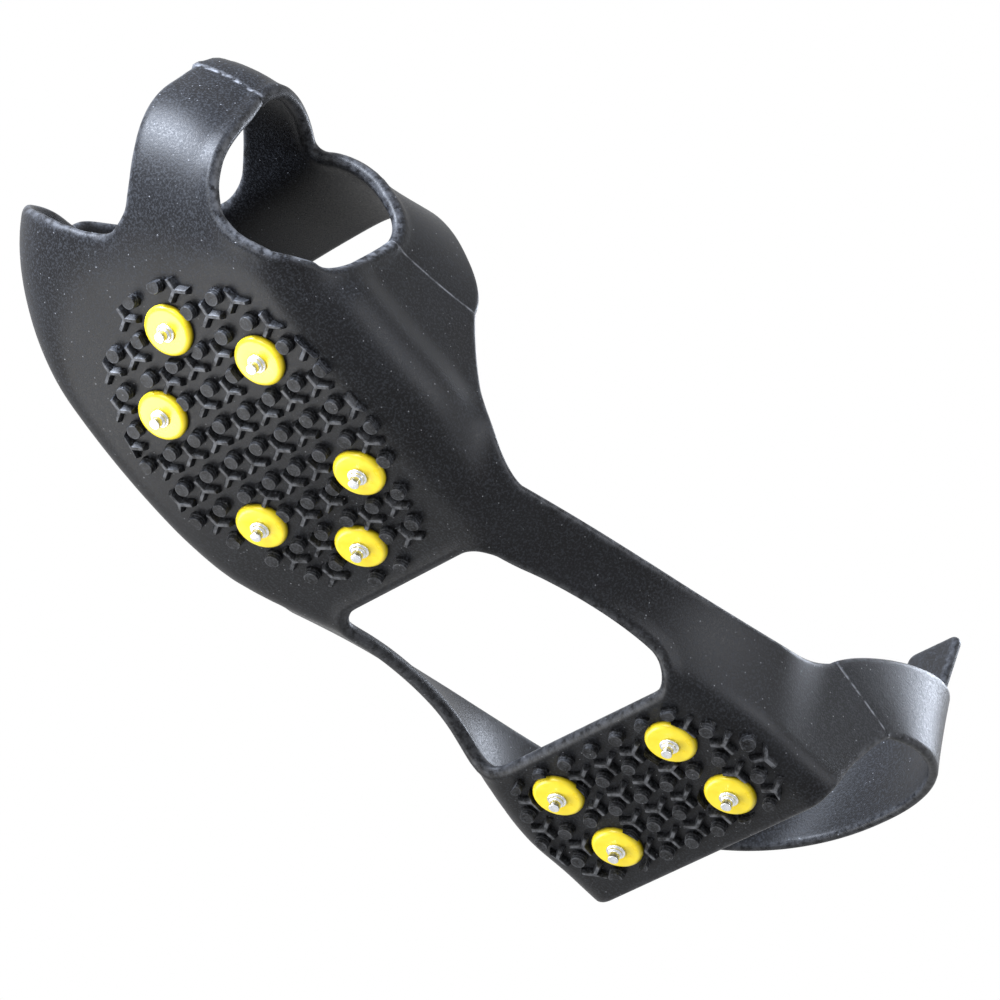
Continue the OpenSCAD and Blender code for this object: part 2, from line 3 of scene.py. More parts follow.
import bpy
import numpy as np
from mathutils import Matrix, Vector, kdtree
from mathutils.geometry import delaunay_2d_cdt

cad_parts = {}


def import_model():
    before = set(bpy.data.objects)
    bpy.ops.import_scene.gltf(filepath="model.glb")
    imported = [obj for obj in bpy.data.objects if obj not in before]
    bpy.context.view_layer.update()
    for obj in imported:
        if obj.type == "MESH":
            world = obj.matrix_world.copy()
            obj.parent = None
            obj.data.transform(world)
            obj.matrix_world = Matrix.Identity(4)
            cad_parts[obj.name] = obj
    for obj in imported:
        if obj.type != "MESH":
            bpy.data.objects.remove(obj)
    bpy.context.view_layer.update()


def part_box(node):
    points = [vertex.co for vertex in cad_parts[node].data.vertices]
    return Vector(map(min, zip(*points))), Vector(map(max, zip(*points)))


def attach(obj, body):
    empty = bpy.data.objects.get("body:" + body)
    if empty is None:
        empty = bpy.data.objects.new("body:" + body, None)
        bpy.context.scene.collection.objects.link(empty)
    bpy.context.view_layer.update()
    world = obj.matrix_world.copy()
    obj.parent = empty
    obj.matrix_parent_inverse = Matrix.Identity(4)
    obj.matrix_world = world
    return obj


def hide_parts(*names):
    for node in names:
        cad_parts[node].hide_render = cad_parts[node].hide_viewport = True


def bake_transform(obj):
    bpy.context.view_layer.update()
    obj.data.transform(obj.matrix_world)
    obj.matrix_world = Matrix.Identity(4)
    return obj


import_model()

# Ice cleat: a stretch-on rubber harness with ten steel studs in plastic discs.
# Sizes are in millimetres and angles in degrees: +X to the toe, +Y to the outer side of the foot, +Z up.
# Names in _s and _x are places along the sole. Names in _h are heights, the harness's above its ground face.
# Powers, squares, sweeps, spreads and climbs are exponents that shape a curve.
MM = 0.001
# A length that is too small to show
hair = 1e-6

# Rubber harness
rubber_t = 3.0
rocker_start, rocker_r = 38.0, 207.0
rim_half_w = 46.0
side_round, heel_round = 11.0, 8.0

# Waist and the opening under the arch
waist_half_w, waist_s = 26.5, -6.0
waist_rim_h, waist_rim_s, rim_slope = 9.3, 20.0, 0.236
arch_front_x, arch_rear_x = 16.0, -48.5
arch_front_half, arch_rear_half = 29.0, 37.0
arch_corner_r = 8.0

# Forefoot, with its outer and inner side apart
ball_s = 62.0
outer_half_w, inner_half_w = 45.0, 51.0
toe_s, toe_reach = 105.0, 73.0
outer_square, inner_square = 1.9, 3.0
toe_round_len, toe_round_h = 55.0, 36.0
toe_bulge, bulge_h = 5.0, (28.0, 46.0)
fold_out, fold_h, fold_end = 3.0, (16.0, 28.0), 88.0

# Wings, and the bridge between the two toe holes; its foot and the inner hole's end are degrees off the toe
wing_h, toe_line_h = 45.5, 37.0
wing_rear_s, wing_front_s = 55.0, 94.0
inner_rise_s, inner_wing_s = 40.0, 98.0
bridge_foot = (14.0, 36.0)
inner_hole_end = -46.0
outer_hole_h, inner_hole_h = 2.8, 1.6
edge_power, hole_start_power, hole_rear_share = 1.75, 2.0, 0.24

# Strap over the foot; the roof's two pairs run from where the toe starts to its tip
strap_top_h, crown_rise, crown_s = 66.0, 21.0, 70.0
strap_rear_s, strap_front_s = 93.0, 132.0
strap_sweep, strap_spread, bridge_spread = 4.5, 0.8, 1.5
roof_power, roof_square = (2.5, 3.2), (2.0, 2.6)
strap_half_cells, strap_cells, bridge_cells = 12, 6, 7
bridge_rows = (-1, 3)

# Heel, its strap and the pull tab
heel_s = -82.0
heel_outer_half_w, heel_inner_half_w = 45.0, 50.5
heel_rear_x, heel_rise_x, heel_edge_power = -102.0, -70.0, 1.6
strap_root_half = 41.5
strap_upper_x, strap_upper_h = -91.0, 43.4
strap_lower_x, strap_lower_h = -114.0, 34.0
heel_back_x, back_lower_h, back_upper_h = -151.0, 51.0, 88.0
heel_square, heel_climb = 0.9, 0.8
tab_w, tab_len, tab_corner_r, tab_foot_r = 20.0, 30.0, 3.0, 4.0

# Studs and discs
disc_d, disc_t, disc_round = 14.4, 2.0, 1.4
tip_reach, pin_d = 3.5, 3.0
collar_d, collar_h = 4.2, 1.5
flange_d, flange_t = 5.4, 0.7
shank_d, head_d, head_t = 4.0, 10.0, 1.2
fit_gap = 0.1
base_z = disc_t + tip_reach
STUDS = {
    "toe": (110.0, 0.0),
    "front_inner": (91.5, -19.5),
    "front_outer": (91.5, 19.5),
    "mid_inner": (52.0, -19.5),
    "mid_outer": (52.0, 19.5),
    "tail": (33.0, 0.0),
    "heel_front_inner": (-63.0, -22.0),
    "heel_front_outer": (-63.0, 22.0),
    "heel_rear_inner": (-86.0, -22.0),
    "heel_rear_outer": (-86.0, 22.0),
}

# Tread: nubs in staggered rows with a three-armed lug beside each
nub_pitch_y, nub_pitch_s = 10.0, 9.9
nub_d, nub_h = 4.2, 2.6
lug_h, lug_arm, lug_foot_w, lug_offset = 1.9, 4.2, 2.0, 3.4
tread_sink = 0.3

# The model's origin lies under the middle of its outline: the tail stud says where that is
tail_low, tail_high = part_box("stud_tail")
middle = [place - (tail_low[i] + tail_high[i]) / 2 / MM for i, place in enumerate(STUDS["tail"])]


def mix(a, b, t):
    return a + (b - a) * t


def share(x, start, end):
    return np.clip((x - start) / (end - start), 0, 1)


def ease(t):
    return t * t * (3 - 2 * t)


def by_side(side, outer, inner):
    return np.where(side > 0, outer, inner)


def through(x, knots):
    """A smooth curve through knots of (place, value) that doesn't swing past them."""
    xs, ys = np.array(knots, float).T
    slope = np.diff(ys) / np.diff(xs)
    before, after = slope[:-1], slope[1:]
    total = np.where(before + after == 0, 1, before + after)
    turn = np.where(before * after > 0, 2 * before * after / total, 0)
    tangent = np.concatenate([slope[:1], turn, slope[-1:]])
    i = np.clip(np.searchsorted(xs, x) - 1, 0, len(xs) - 2)
    wide = xs[i + 1] - xs[i]
    t = np.clip((x - xs[i]) / wide, 0, 1)
    bend = (1 - t) ** 2 * t * wide * tangent[i] - t * t * (1 - t) * wide * tangent[i + 1]
    return mix(ys[i], ys[i + 1], ease(t)) + bend


def world(s, y, h):
    """Points at distance s along the sole, y across and h above its ground face, in the model's frame."""
    curl = np.maximum(0, s - rocker_start) / rocker_r
    x = np.where(s < rocker_start, s, rocker_start + (rocker_r - h) * np.sin(curl))
    z = base_z + np.where(s < rocker_start, h, rocker_r - (rocker_r - h) * np.cos(curl))
    return np.stack([x - middle[0], y - middle[1], z], axis=-1)


# Widths and heights of the harness along the foot

def fore_half(side):
    return by_side(side, outer_half_w, inner_half_w)


def sole_half(s, side):
    heel_half = by_side(side, heel_outer_half_w, heel_inner_half_w)
    heel = mix(waist_half_w, heel_half, ease(share(s, waist_s, heel_s)))
    fore = mix(waist_half_w, fore_half(side), ease(share(s, waist_s, ball_s)))
    return np.where(s < waist_s, heel, fore)


def rim_half(s, side):
    heel = mix(rim_half_w, strap_root_half, ease(share(s, heel_rise_x, strap_upper_x)))
    fore = mix(rim_half_w, fore_half(side), ease(share(s, waist_s, ball_s)))
    return np.where(s < waist_s, heel, fore)


def line_h(s):
    """Height of the mould line between the wings and the strap over the foot."""
    return mix(wing_h, toe_line_h, (np.minimum(s, toe_s) - wing_rear_s) / (toe_s - wing_rear_s))


def band_h(s):
    return waist_rim_h + rim_slope * np.maximum(0, waist_rim_s - s)


def rise(s, start, end):
    return mix(band_h(s), line_h(s), share(s, start, end) ** edge_power)


def hole_edge(low, part):
    return mix(low, toe_line_h, part)


def rim_h(s, side):
    """Height of the rim beside the foot."""
    run = np.maximum(0, (heel_rise_x - s) / (heel_rise_x - strap_upper_x))
    heel = band_h(s) + (strap_upper_h - band_h(strap_upper_x)) * run ** 2
    drop = share(s, toe_s, wing_front_s) ** hole_start_power
    hole = mix(hole_edge(outer_hole_h, hole_rear_share), line_h(s), drop)
    outer = np.where(s <= wing_front_s, rise(s, waist_rim_s, wing_rear_s), hole)
    fore = by_side(side, outer, rise(s, inner_rise_s, inner_wing_s))
    return np.where(s < waist_s, heel, fore)


# Rim round the toe: degrees off the toe, and the share of the way from the hole's low point to the mould line
OUTER_HOLE = [
    (bridge_foot[1], 1), (40, 0.65), (43, 0.3), (47, 0.14), (54, 0.04), (66, 0), (76, 0.02), (84, 0.12),
    (90, hole_rear_share),
]
INNER_HOLE = [
    (inner_hole_end, 1), (-40, 0.77), (-36, 0.49), (-32, 0.26), (-27, 0.12), (-22, 0.045), (-15, 0.01),
    (-6, 0), (1, 0.008), (7, 0.03), (10.5, 0.09), (12.5, 0.22), (bridge_foot[0], 1),
]


def toe_rim_h(a):
    outer = hole_edge(outer_hole_h, through(a, OUTER_HOLE))
    inner = hole_edge(inner_hole_h, through(a, INNER_HOLE))
    edge = np.where(a >= bridge_foot[1], outer, inner)
    moulded = (a < inner_hole_end) | ((a > bridge_foot[0]) & (a < bridge_foot[1]))
    return np.where(moulded, toe_line_h, edge)


def toe_square(side):
    return by_side(side, outer_square, inner_square)


def side_of(q):
    return np.where(q >= 0, 1, -1)


def past_toe(s):
    return np.maximum(0, s - toe_s)


def off_toe(s, y):
    """Direction of a place off the toe, in radians: square to the foot where it lies behind toe_s."""
    return np.arctan2(y, past_toe(s))


def toe_at(a):
    """Reach of the toe in a direction, in radians off the toe."""
    n = toe_square(a)
    return ((np.cos(a) / toe_reach) ** n + (np.abs(np.sin(a)) / fore_half(a)) ** n) ** (-1 / n)


def bulge(h, tip):
    """How far the toe bulges out at a height: tip is 1 straight ahead and 0 at the sides."""
    return toe_bulge * tip * ease(share(h, *bulge_h)) * (1 - ease(share(h, bulge_h[1], strap_top_h)))


def wing_fold(s, side, h):
    """How far the outer side bulges under its wing, where the rubber bends round the edge of the foot."""
    along = ease(share(s, waist_rim_s, wing_rear_s)) * (1 - ease(share(s, fold_end, toe_s)))
    up = ease(share(h, 0, fold_h[0])) * (1 - ease(share(h, *fold_h)))
    return fold_out * along * up * by_side(side, 1, 0)


# A section runs from the middle of the sole along the floor, round the corner and up the wall

def section_at(p, q):
    """The section at a flat point: half width, lean of the wall, and length and height of the corner."""
    side = side_of(q)
    half, rim = sole_half(p, side), rim_h(p, side)
    lean = np.arctan2(rim_half(p, side) - half, rim)
    corner = mix(side_round, heel_round, ease(share(p, waist_s, heel_s)))
    a = off_toe(p, q)
    ahead = p > toe_s
    tip = np.cos(a) ** 2
    length = np.where(ahead, mix(side_round, toe_round_len, tip), corner)
    high = np.where(ahead, mix(side_round, toe_round_h, tip), corner)
    return np.where(ahead, toe_at(a), half), np.where(ahead, 0, lean), length, high


def floor_half(half, lean, length):
    """Half width of a section's flat floor, up to where the corner starts."""
    return half - length * np.tan((np.pi / 2 - lean) / 2)


def along_section(section, u):
    """Distance from the middle and height of the point at length u along a section."""
    half, lean, length, high = section
    turn_end = np.pi / 2 - lean
    floor = floor_half(half, lean, length)
    mean = (length + high) / 2
    turn = np.clip((u - floor) / mean, 0, turn_end)
    wall = np.maximum(0, u - floor - mean * turn_end)
    distance = np.minimum(u, floor) + length * np.sin(turn) + wall * np.sin(lean)
    return distance, high * (1 - np.cos(turn)) + wall * np.cos(lean)


def length_to(section, h):
    """Length along a section up to height h."""
    half, lean, length, high = section
    turn_end = np.pi / 2 - lean
    turn = np.minimum(np.arccos(np.clip(1 - h / high, -1, 1)), turn_end)
    wall = np.maximum(0, h - high * (1 - np.cos(turn_end))) / np.cos(lean)
    return floor_half(half, lean, length) + (length + high) / 2 * turn + wall


def on_sole(p, q):
    """Lays flat points on the ground face: p runs along the foot and q along a section."""
    p, q = np.asarray(p, float), np.asarray(q, float)
    # The sections fan out round the toe
    a = off_toe(p, q)
    distance, h = along_section(section_at(p, q), np.hypot(q, past_toe(p)))
    distance = distance + np.where(p > toe_s, bulge(h, np.cos(a) ** 2), wing_fold(p, side_of(q), h))
    return world(np.minimum(p, toe_s) + distance * np.cos(a), distance * np.sin(a), h)


# Walls that lean less than this count as leaning so far, because an upright one has no width in plan
least_lean = 0.05


def flat_y(s, y):
    """The flat place of a point that lies y across in plan, beside the foot."""
    y = np.asarray(y, float)
    half, lean, length, _ = section_at(s, y)
    floor = floor_half(half, lean, length)
    turn = np.arcsin(np.clip((np.abs(y) - floor) / length, 0, np.cos(lean)))
    wall = np.maximum(0, np.abs(y) - floor - length * np.cos(lean)) / np.maximum(np.sin(lean), least_lean)
    return np.sign(y) * (np.minimum(np.abs(y), floor) + length * turn + wall)


def seat(s, y):
    """A frame on the ground face, as origin and axes: forward, across and out of the rubber."""
    q = float(flat_y(s, y))
    step = 0.5
    origin = on_sole(s, q)
    forward = on_sole(s + step, q) - on_sole(s - step, q)
    forward /= np.linalg.norm(forward)
    across = on_sole(s, q - step) - on_sole(s, q + step)
    across -= forward * np.dot(across, forward)
    across /= np.linalg.norm(across)
    return origin, np.stack([forward, across, np.cross(forward, across)], axis=1)


# Sheets of rubber

# Each kind of edge: radius of its lip, height and place of the bead that runs along it, and how pale it is
# drawn: rubbed, and on the toe hole's lip also a painted highlight along its crest.
# At a mould line two sheets meet with square edges.
EDGES = {
    "lip": (1.6, 0.0, 2.2, 0.12),
    "rolled": (1.7, 0.55, 2.4, 0.12),
    "hole": (1.7, 0.85, 2.2, 0.2),
    "thin": (2.6, 0.0, 2.2, 0.12),
    "bore": (0.3, 0.0, 2.2, 0.0),
}
bead_w = 1.5
# Pale flash along the mould lines, painted paler as the highlight that its thin ridge catches, and where and
# how widely the other edges are drawn pale: rubbing, and a painted highlight on the toe hole's lip
flash, flash_w, pale_lip_at, pale_lip_w = 0.6, 0.2, 0.5, 1.0

# Rings of mesh points along a sheet's edges: their depths, and the step between points
ring_depths = (0.2, 0.5, 0.95, 1.5, 2.2, 3.1)
edge_step, least_sides = 1.1, 12
# A ring's points keep this share of the step to each other and of their depth, and this far from a crease
ring_room, ring_kept, crease_room = 0.6, 0.9, 0.15
# Points of a drawn corner
corner_points = 24
# A recess for a stud's head: spacing of the points round it, and width of its steep wall
recess_step, recess_wall = 0.8, 0.12
# Angles from which an edge is shaded as a corner
sheet_sharp, tread_sharp, turned_sharp = 60, 20, 35


def evenly(line, step):
    """The same flat line with its points about one step apart."""
    line = np.asarray(line, float)
    run = np.concatenate([[0], np.cumsum(np.linalg.norm(np.diff(line, axis=0), axis=1))])
    at = np.linspace(0, run[-1], max(3, round(run[-1] / step) + 1))
    return np.stack([np.interp(at, run, line[:, i]) for i in (0, 1)], axis=1)


def loop_of(stretches):
    """A closed loop from stretches of (line, kind of edge), with the rubber on its left."""
    lines = [(evenly(line, edge_step)[:-1], kind) for line, kind in stretches]
    return np.concatenate([line for line, _ in lines]), [kind for line, kind in lines for _ in line]


def around(x, y, r, turn):
    return np.stack([x + r * np.cos(turn), y + r * np.sin(turn)], axis=1)


def circle(x, y, r, step, clockwise=False):
    count = max(least_sides, round(2 * math.pi * r / step))
    return around(x, y, r, np.linspace(0, 2 * np.pi, count, endpoint=False) * (-1 if clockwise else 1))


def arc(x, y, r, start, end, count=corner_points):
    return around(x, y, r, np.radians(np.linspace(start, end, count)))


def inside(points, loops):
    """Which flat points lie inside the outline and outside its holes."""
    odd = np.zeros(len(points), bool)
    x, y = points[:, 0], points[:, 1]
    for loop, _ in loops:
        for (ax, ay), (bx, by) in zip(loop, np.roll(loop, -1, axis=0)):
            if ay == by:
                continue
            crosses = (ay > y) != (by > y)
            odd ^= crosses & (x < ax + (y - ay) / (by - ay) * (bx - ax))
    return odd


def distance_to(points, others):
    """How far each point lies from the nearest of some others, flat or in space."""
    tree = kdtree.KDTree(len(others))
    for i, point in enumerate(others):
        tree.insert((*point, 0)[:3], i)
    tree.balance()
    return np.array([tree.find((*point, 0)[:3])[2] for point in points])


def spread(points, room):
    """Leaves out points that lie closer than room to one that is kept."""
    cells = {}
    kept = []
    for point in points:
        cell = (math.floor(point[0] / room), math.floor(point[1] / room))
        beside = [(cell[0] + i, cell[1] + j) for i in (-1, 0, 1) for j in (-1, 0, 1)]
        near = [other for key in beside for other in cells.get(key, [])]
        if all(math.dist(point, other) >= room for other in near):
            cells.setdefault(cell, []).append(point)
            kept.append(point)
    return np.array(kept).reshape(-1, 2)


def flat_mesh(loops, creases, spacing):
    """Flat points and triangles that fill the loops: rings along the edges, an even grid inside."""
    edge = np.concatenate([points for points, _ in loops])
    fixed = np.concatenate([edge, *creases])
    links, first = [], 0
    for points in [points for points, _ in loops] + list(creases):
        links += [(first + i, first + (i + 1) % len(points)) for i in range(len(points))]
        first += len(points)
    rings = []
    for depth in ring_depths:
        for points, _ in loops:
            ahead = np.roll(points, -1, axis=0) - np.roll(points, 1, axis=0)
            ahead /= np.linalg.norm(ahead, axis=1)[:, None]
            ring = points + depth * np.stack([-ahead[:, 1], ahead[:, 0]], axis=1)
            deep = distance_to(ring, edge) > ring_kept * depth
            clear = distance_to(ring, fixed) > crease_room
            rings.append(spread(ring[deep & clear], ring_room * edge_step))
    low, high = edge.min(axis=0), edge.max(axis=0)
    rows = np.arange(low[1], high[1], spacing * math.sqrt(3) / 2)
    columns = np.arange(low[0], high[0], spacing)
    grid = np.array([(x + spacing / 2 * (j % 2), y) for j, y in enumerate(rows) for x in columns])
    grid = grid[distance_to(grid, edge) > ring_depths[-1] + spacing / 2]
    filling = np.concatenate([*rings, grid[distance_to(grid, fixed) > spacing / 2]])
    filling = filling[inside(filling, loops)]
    flat = [Vector(point) for point in np.concatenate([fixed, filling])]
    points, _, faces, sources, _, _ = delaunay_2d_cdt(flat, links, [], 0, hair)
    points = np.array([point[:] for point in points])
    faces = np.array(faces)
    faces = faces[inside(points[faces].mean(axis=1), loops)]
    edge_at = {i: at for at, source in enumerate(sources) for i in source}
    return points, faces, np.array([edge_at[i] for i in range(len(edge))])


def point_normals(points, faces):
    a, b, c = (points[faces[:, i]] for i in range(3))
    across = np.cross(b - a, c - a)
    normals = np.zeros_like(points)
    for i in range(3):
        np.add.at(normals, faces[:, i], across)
    return normals / np.linalg.norm(normals, axis=1)[:, None]


def added(name, data):
    """A new object in the scene."""
    obj = bpy.data.objects.new(name, data)
    bpy.context.scene.collection.objects.link(obj)
    return obj


def piece(name, points, faces, finish, sharp, wear_and_painted_light):
    """A mesh piece from points in millimetres: sharp is an angle, and the last argument says how worn each
    point is and how much highlight or shade is painted on it.
    """
    mesh = bpy.data.meshes.new(name)
    mesh.from_pydata((np.asarray(points) * MM).tolist(), [], [list(map(int, face)) for face in faces])
    mesh.polygons.foreach_set("use_smooth", [True] * len(mesh.polygons))
    mesh.set_sharp_from_angle(angle=math.radians(sharp))
    mesh.materials.append(finish)
    mesh.attributes.new("wear_and_painted_light", "FLOAT", "POINT").data.foreach_set("value", np.asarray(wear_and_painted_light, np.float32))
    mesh.validate()
    obj = added(name, mesh)
    return obj


def edge_finish(outer, edge, kinds, lay):
    """What its edges give each point of a sheet: its share of the full thickness, its bead, and how pale it
    is drawn: worn, and in places with a painted highlight.
    """
    rounding, bead, wear_and_painted_light = np.ones(len(outer)), np.zeros(len(outer)), np.zeros(len(outer))
    for kind in sorted(set(kinds)):
        away = distance_to(outer, lay(*edge[kinds == kind].T))
        if kind == "mould":
            # Flash is pale, and painted paler still as the highlight that its thin ridge catches
            wear_and_painted_light = np.maximum(wear_and_painted_light, flash * np.exp(-(away / flash_w) ** 2))
            continue
        radius, bead_h, bead_at, scuff = EDGES[kind]
        rounding = np.minimum(rounding, np.sqrt(1 - (1 - np.clip(away / radius, 0, 1)) ** 2))
        bead = np.maximum(bead, bead_h * np.exp(-((away - bead_at) / bead_w) ** 2))
        # Rubbed lips, and on the toe hole's lip a highlight painted along its crest
        wear_and_painted_light = np.maximum(wear_and_painted_light, scuff * np.exp(-((away - pale_lip_at) / pale_lip_w) ** 2))
    return rounding, bead, wear_and_painted_light


def skin(faces, loops, edge_at, second):
    """Faces of both sides of a sheet and of its square edges: second gives each point's twin."""
    skins = [list(face[::-1]) for face in faces] + [list(second[face]) for face in faces]
    first = 0
    for line, _ in loops:
        run = edge_at[first:first + len(line)]
        first += len(line)
        for a, b in zip(run, np.roll(run, -1)):
            strip = list(dict.fromkeys([a, b, second[b], second[a]]))
            skins += [strip] if len(strip) > 2 else []
    return skins


def sheet(name, loops, lay, inward, finish, spacing=2.1, recesses=()):
    """A closed sheet of rubber with rounded lips: lay() puts flat points on its outer face."""
    creases = []
    for x, y, radius, _ in recesses:
        creases += [circle(x, y, r, recess_step) for r in (radius, radius - recess_wall)]
    flat, faces, edge_at = flat_mesh(loops, creases, spacing)
    outer = lay(flat[:, 0], flat[:, 1])
    normal = point_normals(outer, faces) * inward
    kinds = np.array([kind for _, names in loops for kind in names])
    edge = np.concatenate([points for points, _ in loops])
    rounding, bead, wear_and_painted_light = edge_finish(outer, edge, kinds, lay)
    # Both sides share the points of an edge that is rounded, and meet there
    pinched = np.zeros(len(flat), bool)
    pinched[edge_at[kinds != "mould"]] = True
    faces = faces[~pinched[faces].all(axis=1)]
    half = (rubber_t / 2 + bead) * rounding
    half[pinched] = 0
    dent = np.zeros(len(flat))
    for x, y, radius, depth in recesses:
        dent[np.hypot(flat[:, 0] - x, flat[:, 1] - y) < radius - recess_wall / 2] = depth
    middle_face = outer + normal * rubber_t / 2
    low = middle_face - normal * half[:, None]
    high = middle_face + normal * (half - np.minimum(dent, half))[:, None]
    second = np.arange(len(flat))
    second[~pinched] = len(flat) + np.arange((~pinched).sum())
    skins = skin(faces, loops, edge_at, second)
    if inward < 0:
        skins = [face[::-1] for face in skins]
    return piece(name, np.concatenate([low, high[~pinched]]), skins, finish, sheet_sharp,
                 np.concatenate([wear_and_painted_light, wear_and_painted_light[~pinched]]))


# Materials

def linear(code):
    """A hex sRGB colour as linear light."""
    values = [int(code[i:i + 2], 16) / 255 for i in (1, 3, 5)]
    return tuple(v / 12.92 if v <= 0.04045 else ((v + 0.055) / 1.055) ** 2.4 for v in values) + (1.0,)


def node(tree, kind, links=(), **settings):
    """Adds a shader node: settings are its attributes, inputs or ramp stops, and links feed its inputs."""
    made = tree.nodes.new("ShaderNode" + kind)
    for name, value in settings.items():
        if name == "stops":
            for stop, (position, code) in zip(made.color_ramp.elements, value):
                stop.position = position
                stop.color = linear(code)
        elif hasattr(made, name):
            setattr(made, name, value)
        else:
            made.inputs[name.replace("_", " ")].default_value = value
    for name, output in links:
        tree.links.new(output, made.inputs[name])
    return made


def material(name):
    """An empty material with its shader, and object coordinates in metres."""
    made = bpy.data.materials.new(name)
    made.use_nodes = True
    tree = made.node_tree
    return made, tree, tree.nodes["Principled BSDF"], node(tree, "TexCoord").outputs["Object"]


def per_metre(size):
    """Scale of a pattern whose parts are this many millimetres wide."""
    return 1 / (size * MM)


# Places of the two colours and of the result among the sockets of a mix node
MIX_A, MIX_B, MIX_RESULT = 6, 7, 2
# Radians that a wave texture runs through in one unit
wave_rate = 20


def moulded_rubber(name, dark, worn, dusty, rough, bump_mm):
    """Moulded rubber: nearly black, with a dull sheen that its grain breaks up, pale dust and paler flash,
    worn lips, and highlights painted on the flash, one lip and the tread's edges.
    """
    made, tree, shader, place = material(name)
    # Matched: below the 1.52 of rubber, so that the skin mirrors less of the white studio
    shader.inputs["IOR"].default_value = 1.25
    # Grain of the mould, about 0.2 mm on such rubber and drawn three times as coarse so that it shows
    grain = node(tree, "TexNoise", [("Vector", place)], Scale=per_metre(0.6), Detail=2.0, Roughness=0.6)
    # Bloom on the rubber, in patches about 20 mm wide
    bloom = node(tree, "TexNoise", [("Vector", place)], Scale=per_metre(20), Detail=4.0, Roughness=0.6)
    tone = node(tree, "ValToRGB", [("Fac", bloom.outputs["Fac"])], stops=[(0.35, dark), (0.75, worn)])
    # Fine dust that the grain holds
    held = node(tree, "MapRange", [("Value", grain.outputs["Fac"])], From_Min=0.48, From_Max=0.64)
    # Specks of dust about 0.3 mm wide, 1.5 mm apart, of which three in ten show
    dust = node(tree, "TexVoronoi", [("Vector", place)], Scale=per_metre(1.5))
    speck = node(tree, "MapRange", [("Value", dust.outputs["Distance"])],
                 From_Min=0.06, From_Max=0.16, To_Min=1.0, To_Max=0.0)
    pick = node(tree, "SeparateColor", [("Color", dust.outputs["Color"])])
    rare = node(tree, "MapRange", [("Value", pick.outputs["Red"])], From_Min=0.7, From_Max=1.0)
    shown = node(tree, "Math", [(0, speck.outputs["Result"]), (1, rare.outputs["Result"])],
                 operation="MULTIPLY")
    # Flash at the mould lines, rubbed lips and the tread's tops, with highlights painted on them, broken up
    # every 2 mm or so
    broken = node(tree, "TexNoise", [("Vector", place)], Scale=per_metre(2), Detail=3.0)
    left = node(tree, "MapRange", [("Value", broken.outputs["Fac"])], From_Min=0.36, From_Max=0.62)
    edge = node(tree, "Attribute", attribute_name="wear_and_painted_light")
    rubbed_and_lit = node(tree, "Math", [(0, edge.outputs["Fac"]), (1, left.outputs["Result"])], operation="MULTIPLY")
    colour = tone.outputs["Color"]
    layers = [(held.outputs["Result"], dusty), (shown.outputs[0], "#85878c"), (rubbed_and_lit.outputs[0], "#a2a5ac")]
    for cover, code in layers:
        layer = node(tree, "Mix", [("Factor", cover), (MIX_A, colour)], data_type="RGBA")
        layer.inputs[MIX_B].default_value = linear(code)
        colour = layer.outputs[MIX_RESULT]
    tree.links.new(colour, shader.inputs["Base Color"])
    sheen = node(tree, "MapRange", [("Value", grain.outputs["Fac"])],
                 From_Min=0.3, From_Max=0.7, To_Min=rough - 0.1, To_Max=rough + 0.1)
    tree.links.new(sheen.outputs["Result"], shader.inputs["Roughness"])
    height = node(tree, "Bump", [("Height", grain.outputs["Fac"])], Strength=0.45, Distance=bump_mm * MM)
    tree.links.new(height.outputs["Normal"], shader.inputs["Normal"])
    return made


def moulded_abs_yellow():
    """ABS, injection moulded: an even bright yellow with a soft gloss, faint flow marks from the gate, and
    shade painted at the foot of its edge.
    """
    made, tree, shader, place = material("moulded_abs_yellow")
    shader.inputs["IOR"].default_value = 1.53
    # Flow marks, in bands about 3 mm wide
    flow = node(tree, "TexNoise", [("Vector", place)], Scale=per_metre(3), Detail=3.0, Distortion=0.6)
    tone = node(tree, "ValToRGB", [("Fac", flow.outputs["Fac"])], stops=[(0.3, "#f7da10"), (0.7, "#fbe534")])
    # Shade painted dark olive at the foot of the disc's edge, where the tread round it shades it
    foot = node(tree, "Attribute", attribute_name="wear_and_painted_light")
    shaded_foot = node(tree, "Mix", [("Factor", foot.outputs["Fac"]), (MIX_A, tone.outputs["Color"])],
                  data_type="RGBA")
    shaded_foot.inputs[MIX_B].default_value = linear("#3a3008")
    tree.links.new(shaded_foot.outputs[MIX_RESULT], shader.inputs["Base Color"])
    gloss = node(tree, "MapRange", [("Value", flow.outputs["Fac"])],
                 From_Min=0.3, From_Max=0.7, To_Min=0.26, To_Max=0.34)
    tree.links.new(gloss.outputs["Result"], shader.inputs["Roughness"])
    height = node(tree, "Bump", [("Height", flow.outputs["Fac"])], Strength=0.1, Distance=0.05 * MM)
    tree.links.new(height.outputs["Normal"], shader.inputs["Normal"])
    return made


